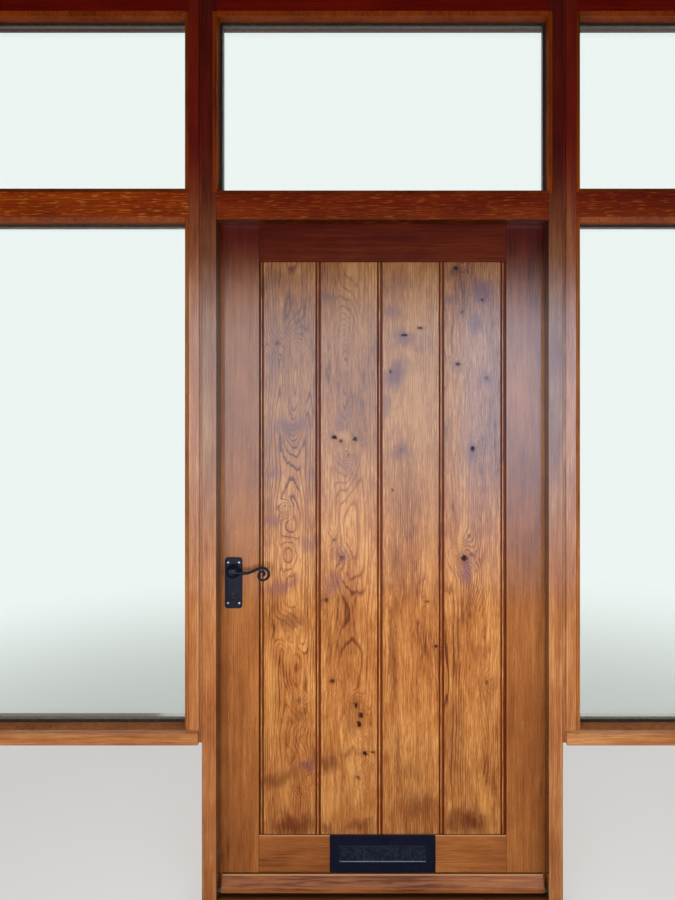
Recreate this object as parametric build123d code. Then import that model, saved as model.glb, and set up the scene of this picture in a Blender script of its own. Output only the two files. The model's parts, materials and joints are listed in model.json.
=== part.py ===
from build123d import *
from math import cos, pi, sin
import os

# Entrance door with sidelights: a boarded oak leaf that opens inwards, in a frame with a
# toplight over it, between two sidelights that stand on low walls. Sealed glazing is held by
# beads from outside. Latch lever, key plate and letter plate are black cast iron.
# Millimetres. X runs right and Y runs into the building, as seen from outside, Z up.
# Origin: underside of the threshold, midway between the posts, level with the outer faces.

# Screen
opening_width = 970
post_width = 42
frame_height = 2720
sidelight_width = 700
joint_width = 8.5
jamb_face = 30
head_face = 62
transom_face = 76
side_transom_face = 73
side_transom_rise = 8.5
doorway_height = 1995.5
tenon_length = 26
tenon_thickness = 14

# Rebates
door_rebate = 12.5
stop_depth = 48
seal_gap = 4
glazing_rebate = 12.5
lip_depth = 30

# Threshold and sill
threshold_height = 52
threshold_nose = 25
threshold_fall = 8
threshold_flat = 62
drip_width = 6
drip_depth = 5
drip_inset = 8
bar_thickness = 5
bar_stand = 7
bar_sunk = 15
sill_level = 557
sill_height = 37
sill_nose = 14
sill_fall = 3
sill_step = 8.3

# Glazing
pane_thickness = 4
cavity = 16
tape_thickness = 3
tape_proud = 1.2
edge_gap = 3
spacer_width = 16
bead_set = 1
bead_slope = 3.5
bead_bevel = 8
sill_bead_fall = 3
block_length = 60

# Joint strip between frames
strip_set = 3.4
strip_nose = 5.2

# Leaf
leaf_thickness = 50
leaf_gap = 3
foot_gap = 3
stile_width = 124.5
top_rail_height = 122.6
bottom_rail_height = 163.4
middle_rail_height = 120
middle_rail_level = 760
rail_arris = 1.5

# Boards
board_count = 4
board_recess = 4
board_thickness = 22
board_gap = 6.5
first_gap = 3
bead_radius = 3
quirk_width = 4.5
quirk_depth = 5
tongue_thickness = 6
tongue_reach = 8
tongue_play = 0.1
groove_spare = 0.5

# Weatherboard
weather_lift = 6
weather_height = 45
weather_reach = 25
weather_ledge = 6
weather_nose = 11
weather_end_gap = 6

# Frame seal
seal_width = 9
seal_play = 0.3

# Hinges
hinge_count = 3
hinge_length = 100
hinge_plate = 3
hinge_plate_width = 32
knuckle_radius = 6.5
knuckle_play = 0.4
knuckle_clear = 0.5
hinge_pin_radius = 3
pin_play = 0.05
hinge_end_margin = 180

# Lock
spindle_level = 1010
backset = 48.5
key_drop = 69
case_thickness = 17
case_depth = 65
case_above = 43
case_below = 40
forend_width = 25
forend_thickness = 4
forend_length = 210
follower_radius = 12
follower_play = 0.05
latch_height = 20
latch_thickness = 12
latch_throw = 12
latch_tail = 16
latch_bevel = 9
bolt_height = 20
bolt_thickness = 10
bolt_throw = 14
bolt_body = 32
bolt_above_key = 20
bolt_play = 0.3
strike_thickness = 3
strike_length = 190
strike_edge = 5
pocket_depth = 13
spindle_square = 8
socket_play = 0.05

# Lever plates
plate_width = 51.5
plate_height = 152
plate_thickness = 4
plate_corner = 9
plate_below_spindle = 36
keyhole_radius = 3.6
keyhole_slot = 3.4
keyhole_length = 13
hub_radius = 9
hub_play = 0.1
spindle_hole_radius = 10

# Lever
boss_radius = 20
boss_height = 27.7
boss_dome = 13
boss_shoulder = 8
shoulder_radius = 16.5
crown_radius = 9
boss_play = 0.3
arm_stand = 28
neck_radius = 9
neck_start = 10
neck_cant = 5.5
neck_length = 39.8
neck_drop = 1.1
arm_radius = 4
sweep_up_radius = 30
sweep_angle = 22
arm_straight = 29.8
top_radius = 35
curl_radii = (18.1, 13, 6.4)
curl_rod = (3.7, 3.3, 2.9)
rod_sides = 8
boss_sides = 24
curl_steps = 9

# Letter plate
letter_width = 316
letter_height = 112
letter_thickness = 4
letter_edge = 1.2
letter_lift = 0.5
aperture_width = 257
aperture_height = 46.5
aperture_lift = 1.6
flap_play = 0.4
flap_foot_play = 0.9
flap_thickness = 3
flap_proud = 0.4
flap_pin_radius = 1.5
flap_pin_set = 7.9
flap_pin_below = 3
flap_barrel_radius = 3.4
flap_barrel_length = 226
lug_radius = 4
lug_thickness = 6
slot_margin = 4
slot_side = 3
inner_width = 316
inner_height = 90
inner_thickness = 3
inner_flap_overlap = 7
inner_flap_thickness = 2
inner_flap_stand = 4.5
inner_lug_reach = 8

# Fixing holes through the outer jambs
fixing_radius = 4
fixing_levels = (720, 1260, 1880, 2420)
fixing_from_back = 15

# Levels and faces that follow
opening_half = opening_width / 2
post_outer = opening_half + post_width
side_inner = post_outer + joint_width
side_outer = side_inner + sidelight_width
leaf_front = stop_depth + seal_gap
leaf_back = leaf_front + leaf_thickness
leaf_middle = (leaf_front + leaf_back) / 2
frame_depth = leaf_back
glazing_depth = frame_depth - lip_depth
unit_thickness = 2 * pane_thickness + cavity
bead_back = glazing_depth - 2 * tape_thickness - unit_thickness
glass_front = bead_back + tape_thickness
door_head = threshold_height + doorway_height
transom_top = door_head + transom_face
head_bottom = frame_height - head_face
side_transom_bottom = door_head + side_transom_rise
side_transom_top = side_transom_bottom + side_transom_face
sill_bottom = sill_level - sill_height
sill_floor = sill_level - sill_step
rebate_left = side_inner + jamb_face
rebate_right = side_outer - jamb_face
tenon_front = (frame_depth - tenon_thickness) / 2 - tenon_thickness / 2
tenon_back = tenon_front + tenon_thickness
leaf_half = opening_half + door_rebate - leaf_gap
leaf_bottom = threshold_height + foot_gap
leaf_top = door_head + door_rebate - leaf_gap
field_half = leaf_half - stile_width
field_bottom = leaf_bottom + bottom_rail_height
field_top = leaf_top - top_rail_height
board_front = leaf_front + board_recess
board_back = board_front + board_thickness
board_pitch = 2 * field_half / board_count
tongue_front = board_front + (board_thickness - tongue_thickness) / 2 - 3
tongue_back = tongue_front + tongue_thickness
groove_depth = tongue_reach + groove_spare
pin_x = leaf_half + leaf_gap / 2
pin_y = leaf_back + knuckle_radius + knuckle_clear
spindle_x = backset - leaf_half
key_level = spindle_level - key_drop
weather_bottom = leaf_bottom + weather_lift
weather_top = weather_bottom + weather_height
letter_level = weather_top + letter_lift + letter_height / 2
aperture_bottom = letter_level + aperture_lift - aperture_height / 2
aperture_top = aperture_bottom + aperture_height


def block(x0, x1, y0, y1, z0, z1):
    """Box between two X, two Y and two Z faces."""
    return Pos((x0 + x1) / 2, (y0 + y1) / 2, (z0 + z1) / 2) * Box(x1 - x0, y1 - y0, z1 - z0)


def bar_along_x(outline, x0, x1):
    """Bar with a (Y, Z) outline between two X faces."""
    return extrude(Plane.YZ.offset(x0) * Polygon(*outline, align=None), x1 - x0, dir=(1, 0, 0))


def bar_along_z(section, z0, z1):
    """Bar with a section in X and Y between two levels."""
    return extrude(Plane.XY.offset(z0) * section, z1 - z0, dir=(0, 0, 1))


def facing(x, y, z):
    """Plane that faces out of the door at a point, with Z up in it."""
    return Plane((x, y, z), x_dir=(1, 0, 0), z_dir=(0, -1, 0))


def plate_along_y(section, x, z, y0, y1):
    """Plate with a section in X and Z about a point, between two Y faces."""
    return extrude(facing(x, y0, z) * section, y1 - y0, dir=(0, 1, 0))


def rod_x(y, z, radius, x0, x1):
    return extrude(Plane.YZ.offset(x0) * Pos(y, z) * Circle(radius), x1 - x0)


def rod_y(x, z, radius, y0, y1):
    return plate_along_y(Circle(radius), x, z, y0, y1)


def rod_z(x, y, radius, z0, z1):
    return bar_along_z(Pos(x, y) * Circle(radius), z0, z1)


def rectangle(x0, x1, y0, y1):
    """Rectangle between two X and two Y edges."""
    return Pos((x0 + x1) / 2, (y0 + y1) / 2) * Rectangle(x1 - x0, y1 - y0)


def group(*shapes):
    """Several separate solids as one node."""
    return Compound([solid for shape in shapes for solid in shape.solids()])


def on_left(shape):
    return mirror(shape, about=Plane.YZ)


def on_inside(shape):
    """The same piece on the leaf's inner face."""
    return mirror(shape, about=Plane((0, leaf_middle, 0), z_dir=(0, 1, 0)))


def ring(x0, x1, z0, z1, width, y0, y1):
    """Rectangular ring of a given width, inside the rectangle."""
    hole = block(x0 + width, x1 - width, y0 - 1, y1 + 1, z0 + width, z1 - width)
    return block(x0, x1, y0, y1, z0, z1) - hole


def sealed_unit(x0, x1, z0, z1):
    """Panes, spacer, tapes and setting blocks of one unit in a rebate of the given size."""
    gx0, gx1, gz0, gz1 = x0 + edge_gap, x1 - edge_gap, z0 + edge_gap, z1 - edge_gap
    inner_front = glass_front + pane_thickness + cavity
    panes = group(block(gx0, gx1, glass_front, glass_front + pane_thickness, gz0, gz1),
                  block(gx0, gx1, inner_front, inner_front + pane_thickness, gz0, gz1))
    spacer = ring(gx0, gx1, gz0, gz1, spacer_width, glass_front + pane_thickness, inner_front)
    cover = glazing_rebate - edge_gap
    unit_back = glass_front + unit_thickness
    outer_tape = ring(gx0, gx1, gz0, gz1, cover + tape_proud, bead_back, glass_front)
    inner_tape = ring(gx0, gx1, gz0, gz1, cover, unit_back, glazing_depth)
    seals = [outer_tape, inner_tape]
    for share in (0.2, 0.8):
        middle = x0 + share * (x1 - x0)
        seals.append(block(middle - block_length / 2, middle + block_length / 2,
                           glass_front, unit_back, z0, gz0))
    return panes, spacer, seals


def glazing_beads(x0, x1, z0, z1, foot, foot_runs_through):
    """Four beads in a rebate. The foot bead has its own (Y, Z) outline above the rebate floor."""
    w = glazing_rebate
    front, slope = bead_set, bead_set + bead_slope
    left = Polygon((x0, front), (x0 + w, slope), (x0 + w, bead_back), (x0, bead_back), align=None)
    right = Polygon((x1, front), (x1, bead_back), (x1 - w, bead_back), (x1 - w, slope), align=None)
    head = [(front, z1), (bead_back, z1), (bead_back, z1 - w), (slope, z1 - w)]
    foot_outline = [(y, z0 + rise) for y, rise in foot]
    sides = [bar_along_z(left, z0, z1), bar_along_z(right, z0, z1)]
    if foot_runs_through:
        foot_bead = bar_along_x(foot_outline, x0, x1)
        sides = [side - foot_bead for side in sides]
    else:
        foot_bead = bar_along_x(foot_outline, x0 + w, x1 - w)
    return group(*sides, bar_along_x(head, x0 + w, x1 - w), foot_bead)


transom_foot = [(bead_set, 0), (bead_set + bead_bevel, glazing_rebate), (bead_back, glazing_rebate),
                (bead_back, 0)]
sill_foot = [(bead_set, 0), (bead_set, glazing_rebate - sill_bead_fall), (bead_back, glazing_rebate),
             (bead_back, 0)]


def tenons(x0, x1, z0, z1):
    """Tenons on both ends of a cross member, in the middle of its depth."""
    reach = block(x0 - tenon_length, x1 + tenon_length, tenon_front, tenon_back, z0, z1)
    return reach - block(x0, x1, 0, frame_depth, z0, z1)


def cross_member(outline, x0, x1, z0, z1, lips=()):
    """Head or transom: outline between two X faces, lips cut back, tenons added."""
    member = bar_along_x(outline, x0, x1)
    for lip in lips:
        member -= lip
    return member + tenons(x0, x1, z0, z1)


# Door frame
def door_frame():
    w, depth = opening_half, frame_depth
    head = cross_member([(0, head_bottom), (glazing_depth, head_bottom),
                         (glazing_depth, head_bottom - glazing_rebate), (depth, head_bottom - glazing_rebate),
                         (depth, frame_height), (0, frame_height)],
                        -w, w, head_bottom + 10, frame_height - 10)
    transom = cross_member([(0, door_head), (0, transom_top), (glazing_depth, transom_top),
                            (glazing_depth, transom_top + glazing_rebate),
                            (depth, transom_top + glazing_rebate), (depth, door_head + door_rebate),
                            (stop_depth, door_head + door_rebate), (stop_depth, door_head)],
                           -w, w, door_head + door_rebate + 10, transom_top - 10)
    groove_front = drip_inset - threshold_nose
    base = bar_along_x([(-threshold_nose, 0), (-threshold_nose, threshold_height - threshold_fall),
                        (depth - threshold_flat, threshold_height), (depth, threshold_height), (depth, 0)],
                       -post_outer, post_outer)
    base -= block(-post_outer, post_outer, groove_front, groove_front + drip_width, 0, drip_depth)
    bar_back = leaf_front - seal_play
    bar = block(-w, w, bar_back - bar_thickness, bar_back,
                threshold_height - bar_sunk, threshold_height + bar_stand)
    post = block(w, post_outer, 0, depth, threshold_height - threshold_fall, frame_height)
    post -= block(w, w + door_rebate, stop_depth, depth, 0, door_head + door_rebate)
    post -= block(w, w + glazing_rebate, 0, glazing_depth, transom_top, head_bottom)
    post -= base
    post = post - head - transom
    return post, head, transom, base - bar, bar


def frame_seal():
    """Seal strip on the stop, up both posts and across under the transom."""
    outer = opening_half + door_rebate - 2
    top = door_head + door_rebate - 2
    back = leaf_front - seal_play
    foot = threshold_height + bar_stand
    strip = block(-outer, outer, stop_depth, back, foot, top)
    return strip - block(seal_width - outer, outer - seal_width, 0, leaf_front, 0, top - seal_width)


# Sidelight on the right; the left one is its mirror image
def sidelight():
    a, b, depth = rebate_left, rebate_right, frame_depth
    lip = glazing_rebate
    lips = [block(a, a + lip, glazing_depth, depth, 0, frame_height),
            block(b - lip, b, glazing_depth, depth, 0, frame_height)]
    head = cross_member([(0, head_bottom), (glazing_depth, head_bottom),
                         (glazing_depth, head_bottom - lip), (depth, head_bottom - lip),
                         (depth, frame_height), (0, frame_height)],
                        a, b, head_bottom + 10, frame_height - 10, lips)
    low, high = side_transom_bottom, side_transom_top
    transom = cross_member([(0, low), (0, high), (glazing_depth, high), (glazing_depth, high + lip),
                            (depth, high + lip), (depth, low - lip), (glazing_depth, low - lip),
                            (glazing_depth, low)],
                           a, b, low + 10, high - 10, lips)
    sill = bar_along_x([(-sill_nose, sill_bottom), (-sill_nose, sill_level - sill_fall), (0, sill_level),
                        (bead_set, sill_level), (bead_set, sill_floor), (glazing_depth, sill_floor),
                        (glazing_depth, sill_floor + lip), (depth, sill_floor + lip), (depth, sill_bottom)],
                       side_inner, side_outer)
    sill -= block(side_inner, side_outer, drip_inset - sill_nose - 2, drip_inset - sill_nose - 2 + drip_width,
                  sill_bottom, sill_bottom + drip_depth)
    jambs = []
    for x0, x1, r0, r1 in ((side_inner, a + lip, a, a + lip), (b - lip, side_outer, b - lip, b)):
        jamb = block(x0, x1, 0, depth, sill_floor, frame_height)
        jamb -= block(r0, r1, 0, glazing_depth, sill_floor, head_bottom)
        jambs.append(jamb - sill - head - transom)
    for level in fixing_levels:
        jambs[1] -= rod_x(depth - fixing_from_back, level, fixing_radius, b - lip, side_outer)
    return jambs[0], jambs[1], head, transom, sill


def joint_strip():
    """Packing between post and sidelight, with a rounded nose along the post."""
    section = rectangle(post_outer, side_inner, strip_set, frame_depth)
    section += Pos(post_outer + strip_nose / 2, strip_set) * Circle(strip_nose / 2)
    return bar_along_z(section, sill_bottom, frame_height)


# Leaf
def side_groove(x0, x1, z0, z1):
    return block(x0, x1, tongue_front - tongue_play, tongue_back + tongue_play, z0, z1)


def rail(z0, z1, arris_at_top, arris_at_foot):
    """Rail between the stiles with eased front arrises towards the boards."""
    outline = [(leaf_front, z0 + rail_arris * arris_at_foot), (leaf_front, z1 - rail_arris * arris_at_top)]
    if arris_at_top:
        outline.append((leaf_front + rail_arris, z1))
    else:
        outline[-1] = (leaf_front, z1)
    outline += [(leaf_back, z1), (leaf_back, z0)]
    if arris_at_foot:
        outline.append((leaf_front + rail_arris, z0))
    body = bar_along_x(outline, -field_half, field_half)
    return body + leaf_tenons(z0 + 15, z1 - 15)


def leaf_tenons(z0, z1):
    """Tenons of a rail, behind the boards' tongues."""
    long = block(-field_half - tenon_length, field_half + tenon_length, board_back + 2,
                 board_back + 2 + tenon_thickness, z0, z1)
    return long - block(-field_half, field_half, leaf_front, leaf_back, z0, z1)


def board(index):
    """Tongued and grooved board with a bead and quirk down its right edge, the first one on both."""
    x0 = -field_half + index * board_pitch
    x1 = x0 + board_pitch
    first = index == 0
    left = x0 + first_gap if first else x0
    bead_edge = x1 - board_gap
    section = rectangle(left, bead_edge, board_front, board_back)
    section += rectangle(bead_edge, x1, tongue_back, board_back)
    section += rectangle(bead_edge, x1 + tongue_reach, tongue_front, tongue_back)
    if first:
        section += rectangle(x0, left, tongue_back, board_back)
        section += rectangle(x0 - tongue_reach, left, tongue_front, tongue_back)
    else:
        section -= rectangle(x0, x0 + groove_depth, tongue_front - tongue_play, tongue_back + tongue_play)
    edges = [(bead_edge, -1)] + ([(left, 1)] if first else [])
    for edge, way in edges:
        inner = edge + way * 2 * bead_radius
        section -= rectangle(min(edge, inner), max(edge, inner), board_front, board_front + bead_radius)
        section += Pos(edge + way * bead_radius, board_front + bead_radius) * Circle(bead_radius)
        section -= Polygon((inner, board_front), (inner, board_front + quirk_depth),
                           (inner + way * quirk_width / 2, board_front + quirk_depth),
                           (inner + way * quirk_width, board_front), align=None)
    end_left = x0 if first else x0 + groove_depth
    ends = block(end_left, bead_edge, tongue_front, tongue_back,
                 field_bottom - tongue_reach, field_top + tongue_reach)
    return bar_along_z(section, field_bottom, field_top) + ends


def weatherboard():
    half = opening_half - weather_end_gap
    nose = leaf_front - weather_reach
    outline = [(leaf_front, weather_bottom), (leaf_front, weather_top),
               (leaf_front - weather_ledge, weather_top - 1), (nose + 1, weather_bottom + weather_nose),
               (nose, weather_bottom)]
    groove = block(-half, half, nose + drip_inset, nose + drip_inset + drip_width, weather_bottom,
                   weather_bottom + drip_depth)
    return bar_along_x(outline, -half, half) - groove


# Hinges: one at each level, all on one pin line
def hinge_levels():
    low = leaf_bottom + hinge_end_margin
    high = leaf_top - hinge_end_margin - hinge_length
    return [low + i * (high - low) / (hinge_count - 1) for i in range(hinge_count)]


def hinge(level):
    """Frame leaf, door leaf and pin of the hinge that starts at a level."""
    pitch = (hinge_length + knuckle_play) / 3
    flaps = []
    for x0, x1, knuckles in ((leaf_half + leaf_gap, leaf_half + leaf_gap + hinge_plate, (0, 2)),
                             (leaf_half - hinge_plate, leaf_half, (1,))):
        flap = block(x0, x1, leaf_back - hinge_plate_width, leaf_back, level, level + hinge_length)
        for k in knuckles:
            z0 = level + k * pitch
            z1 = z0 + pitch - knuckle_play
            flap += rod_z(pin_x, pin_y, knuckle_radius, z0, z1)
            flap += block(x0, x1, leaf_back - 1, pin_y, z0, z1)
        flaps.append(flap - rod_z(pin_x, pin_y, hinge_pin_radius + pin_play, level - 1, level + hinge_length + 1))
    return flaps[0], flaps[1], rod_z(pin_x, pin_y, hinge_pin_radius, level, level + hinge_length)


# Lock and strike
lock_front = leaf_middle - case_thickness / 2
lock_back = leaf_middle + case_thickness / 2
forend_back = forend_thickness - leaf_half
case_bottom = key_level - case_below
case_top = spindle_level + case_above
forend_middle = (case_bottom + case_top) / 2
deadbolt_level = key_level + bolt_above_key


def bolt_channel(level, height, thickness, x0, x1):
    """Clear passage for a bolt, with play all round."""
    half, deep = height / 2 + bolt_play, thickness / 2 + bolt_play
    return block(x0, x1, leaf_middle - deep, leaf_middle + deep, level - half, level + half)


def keyhole():
    slot = Pos(0, -keyhole_length / 2) * Rectangle(keyhole_slot, keyhole_length)
    return Circle(keyhole_radius) + slot


def latch_channel():
    return bolt_channel(spindle_level, latch_height, latch_thickness, -leaf_half - 1,
                        forend_back + latch_tail + latch_throw + bolt_play)


def deadbolt_channel():
    return bolt_channel(deadbolt_level, bolt_height, bolt_thickness, -leaf_half - 1,
                        bolt_body - leaf_half + bolt_play)


def lock_parts():
    case = block(forend_back, forend_back + case_depth, lock_front, lock_back, case_bottom, case_top)
    case -= rod_y(spindle_x, spindle_level, follower_radius + follower_play, lock_front, lock_back)
    case -= latch_channel()
    case -= deadbolt_channel()
    case -= plate_along_y(keyhole(), spindle_x, key_level, lock_front, lock_back)
    forend = block(-leaf_half, forend_back, leaf_middle - forend_width / 2, leaf_middle + forend_width / 2,
                   forend_middle - forend_length / 2, forend_middle + forend_length / 2)
    forend = forend - latch_channel() - deadbolt_channel()
    follower = rod_y(spindle_x, spindle_level, follower_radius, lock_front, lock_back)
    follower -= socket(lock_front, lock_back)
    tip = -leaf_half - latch_throw
    half = latch_thickness / 2
    head = Polygon((tip, leaf_middle + half), (tip, leaf_middle + half - latch_thickness + latch_bevel),
                   (tip + latch_throw, leaf_middle - half), (forend_back + latch_tail, leaf_middle - half),
                   (forend_back + latch_tail, leaf_middle + half), align=None)
    latch = bar_along_z(head, spindle_level - latch_height / 2, spindle_level + latch_height / 2)
    bolt = block(-leaf_half, bolt_body - leaf_half, leaf_middle - bolt_thickness / 2,
                 leaf_middle + bolt_thickness / 2, deadbolt_level - bolt_height / 2,
                 deadbolt_level + bolt_height / 2)
    return case, forend, follower, latch, bolt


def socket(y0, y1):
    """Square hole for the spindle."""
    side = spindle_square + 2 * socket_play
    return plate_along_y(Rectangle(side, side), spindle_x, spindle_level, y0, y1)


def strike():
    """Keep in the lock-side rebate, with a hole for each bolt."""
    face = -leaf_half - leaf_gap
    front = leaf_middle - forend_width / 2
    keep = block(face - strike_thickness, face, front, frame_depth,
                 forend_middle - strike_length / 2, forend_middle + strike_length / 2)
    return keep - strike_holes(face)


def strike_holes(face):
    """Room behind and through the keep for both bolts."""
    deep = face - strike_thickness - pocket_depth
    holes = []
    for level, height, thickness in ((spindle_level, latch_height, latch_thickness),
                                     (deadbolt_level, bolt_height, bolt_thickness)):
        holes.append(block(deep, face, leaf_middle - thickness / 2 - 1, leaf_middle + thickness / 2 + 1,
                           level - height / 2 - 1, level + height / 2 + 1))
    return holes[0] + holes[1]


def bent_rod(plane, curves, steps, radius):
    """Many-sided rod along curves in a plane, each bent in a number of short straight steps."""
    points = [curve @ (i / n) for curve, n in zip(curves, steps) for i in range(n)]
    path = plane * Polyline(*points, curves[-1] @ 1)
    section = Plane(path @ 0, x_dir=(0, 1, 0), z_dir=path % 0) * RegularPolygon(radius, rod_sides)
    return sweep(section, path=path, transition=Transition.RIGHT)


def taper_rod(start, run, start_radius, end_radius, sides):
    """Many-sided rod that changes radius evenly along its run."""
    plane = Plane(start, z_dir=run)
    near, far = [], []
    for i in range(sides):
        angle = 2 * pi * i / sides
        near.append(plane.from_local_coords(Vector(start_radius * cos(angle), start_radius * sin(angle), 0)))
        far.append(plane.from_local_coords(Vector(end_radius * cos(angle), end_radius * sin(angle), run.length)))
    flats = [(near[i - 1], near[i], far[i], far[i - 1]) for i in range(sides)]
    return Solid(Shell([Face(Wire.make_polygon(corners)) for corners in (*flats, near, far)]))


def lever():
    """Forged lever: domed boss, tapering neck, rising arm of many-sided rod and a curled tail."""
    face = leaf_front - plate_thickness
    back = face - boss_play
    dome_end = back - boss_height + boss_dome
    boss = taper_rod(Vector(0, back, 0), Vector(0, dome_end - back, 0), boss_radius, boss_radius, boss_sides)
    boss += taper_rod(Vector(0, dome_end, 0), Vector(0, -boss_shoulder, 0), boss_radius, shoulder_radius,
                      boss_sides)
    boss += taper_rod(Vector(0, dome_end - boss_shoulder, 0), Vector(0, boss_shoulder - boss_dome, 0),
                      shoulder_radius, crown_radius, boss_sides)
    boss += rod_y(0, 0, hub_radius, back, leaf_front)
    arm_y = leaf_front - arm_stand
    plane = facing(0, arm_y, -neck_drop)
    root = Vector(neck_start, arm_y + neck_cant, -neck_drop)
    run = Vector(neck_length, arm_y, -neck_drop) - root
    neck = taper_rod(root, run, neck_radius, arm_radius, rod_sides)
    a = Line((neck_length, 0), (neck_length + 0.5, 0))
    b = JernArc(a @ 1, a % 1, sweep_up_radius, sweep_angle)
    c = Line(b @ 1, b @ 1 + (b % 1) * arm_straight)
    d = JernArc(c @ 1, c % 1, top_radius, -sweep_angle)
    shape = boss + neck + bent_rod(plane, (a, b, c, d), (1, 2, 1, 2), arm_radius)
    curl = d
    for radius, rod in zip(curl_radii, curl_rod):
        curl = JernArc(curl @ 1, curl % 1, radius, -180)
        shape += bent_rod(plane, (curl,), (curl_steps,), rod)
    return Pos(spindle_x, 0, spindle_level) * shape - socket(face - boss_height * 0.6, leaf_front)


def lever_plate():
    """Back plate with rounded corners, spindle bore and keyhole."""
    face = leaf_front - plate_thickness
    middle = spindle_level - plate_below_spindle
    plate = plate_along_y(RectangleRounded(plate_width, plate_height, plate_corner), spindle_x, middle,
                          face, leaf_front)
    plate = chamfer(plate.edges().group_by(Axis.Y)[0], 1)
    plate -= rod_y(spindle_x, spindle_level, hub_radius + hub_play, face, leaf_front)
    plate -= plate_along_y(keyhole(), spindle_x, key_level, face, leaf_front)
    return plate


# Letter plate
def letter_parts():
    face = leaf_front - letter_thickness
    half = aperture_width / 2
    plate = plate_along_y(Rectangle(letter_width, letter_height), 0, letter_level, face, leaf_front)
    plate = chamfer(plate.edges().group_by(Axis.Y)[0], letter_edge)
    plate -= block(-half, half, face, leaf_front, aperture_bottom, aperture_top)
    flap_front = face - flap_proud
    flap_back = flap_front + flap_thickness
    pin_at = flap_front + flap_pin_set
    flap_top = aperture_top - flap_play
    pin_level = flap_top - flap_pin_below
    flap = block(flap_play - half, half - flap_play, flap_front, flap_back,
                 aperture_bottom + flap_foot_play, flap_top)
    barrel = flap_barrel_length / 2
    flap += rod_x(pin_at, pin_level, flap_barrel_radius, -barrel, barrel)
    flap += block(-barrel, barrel, flap_back - 0.5, pin_at, pin_level - 2, pin_level + 1)
    flap -= rod_x(pin_at, pin_level, flap_pin_radius + pin_play, -barrel - 1, barrel + 1)
    lug_in = barrel + 1
    lug_out = lug_in + lug_thickness
    for side in (-1, 1):
        x0, x1 = sorted((side * lug_in, side * lug_out))
        plate += rod_x(pin_at, pin_level, lug_radius, x0, x1)
        plate += block(x0, x1, leaf_front - 1, pin_at + 1, aperture_top, pin_level + lug_radius + 3)
    plate -= rod_x(pin_at, pin_level, flap_pin_radius, -lug_out - 1, lug_out + 1)
    pin = rod_x(pin_at, pin_level, flap_pin_radius, -lug_out, lug_out)
    return plate, flap, pin


def letter_slot():
    """Passage through the bottom rail, with room for the flap and its lugs."""
    half = aperture_width / 2 + slot_side
    return block(-half, half, leaf_front, leaf_back, aperture_bottom - slot_margin, aperture_top + slot_margin)


def inner_letter_parts():
    """Inner plate and the flap that hangs over its opening on two pintles."""
    back = leaf_back + inner_thickness
    half = aperture_width / 2
    plate = plate_along_y(Rectangle(inner_width, inner_height), 0, letter_level, leaf_back, back)
    plate -= block(-half, half, leaf_back, back, aperture_bottom + 2, aperture_top - 2)
    pin_level = aperture_top + inner_flap_overlap + 2
    pin_at = back + inner_flap_stand
    flap_half = half + inner_flap_overlap
    flap = block(-flap_half, flap_half, pin_at - inner_flap_thickness / 2, pin_at + inner_flap_thickness / 2,
                 aperture_bottom - inner_flap_overlap, pin_level)
    flap += rod_x(pin_at, pin_level, flap_barrel_radius, -flap_half, flap_half)
    lug_in, lug_out = flap_half + 1, flap_half + 1 + lug_thickness
    flap += rod_x(pin_at, pin_level, flap_pin_radius, -lug_out, lug_out)
    for side in (-1, 1):
        x0, x1 = sorted((side * lug_in, side * lug_out))
        lug = block(x0, x1, back, back + inner_lug_reach, pin_level - lug_radius, pin_level + lug_radius)
        plate += lug - rod_x(pin_at, pin_level, flap_pin_radius + pin_play, x0, x1)
    return plate, flap


parts = {}

# Frame and sidelights
right_post, frame_head, frame_transom, threshold, water_bar = door_frame()
left_post = on_left(right_post)
right_side = dict(zip(("inner_jamb", "outer_jamb", "head", "transom", "sill"), sidelight()))
for name, piece in right_side.items():
    parts["right_" + name] = piece
    parts["left_" + name] = on_left(piece)
parts["joint_strips"] = group(joint_strip(), on_left(joint_strip()))

# Glazing
half_light = opening_half + glazing_rebate
lights = {
    "toplight": (-half_light, half_light, transom_top, head_bottom, transom_foot, True),
    "right_upper": (rebate_left, rebate_right, side_transom_top, head_bottom, transom_foot, False),
    "right_lower": (rebate_left, rebate_right, sill_floor, side_transom_bottom, sill_foot, False),
}
spacers, seals, beads = [], [], {}
for name, (x0, x1, z0, z1, foot, runs_through) in lights.items():
    panes, spacer, unit_seals = sealed_unit(x0, x1, z0, z1)
    beads[name] = glazing_beads(x0, x1, z0, z1, foot, runs_through)
    parts[name + "_glass"] = panes
    spacers.append(spacer)
    seals += unit_seals
    if name != "toplight":
        parts[name.replace("right", "left") + "_glass"] = on_left(panes)
        spacers.append(on_left(spacer))
        seals += [on_left(seal) for seal in unit_seals]
parts["toplight_beads"] = beads["toplight"]
parts["right_beads"] = group(beads["right_upper"], beads["right_lower"])
parts["left_beads"] = group(*[on_left(bead) for bead in parts["right_beads"].solids()])
parts["glass_spacers"] = group(*spacers)
parts["glazing_seals"] = group(*seals)

# Hinges, lock and keep, and the housings that they leave in the posts
hinges = [hinge(level) for level in hinge_levels()]
lock_case, lock_faceplate, lock_follower, latch_bolt, deadbolt = lock_parts()
strike_plate = strike()
for frame_leaf, door_leaf, pin in hinges:
    right_post -= frame_leaf
left_post = left_post - strike_plate - strike_holes(-leaf_half - leaf_gap)

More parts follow.
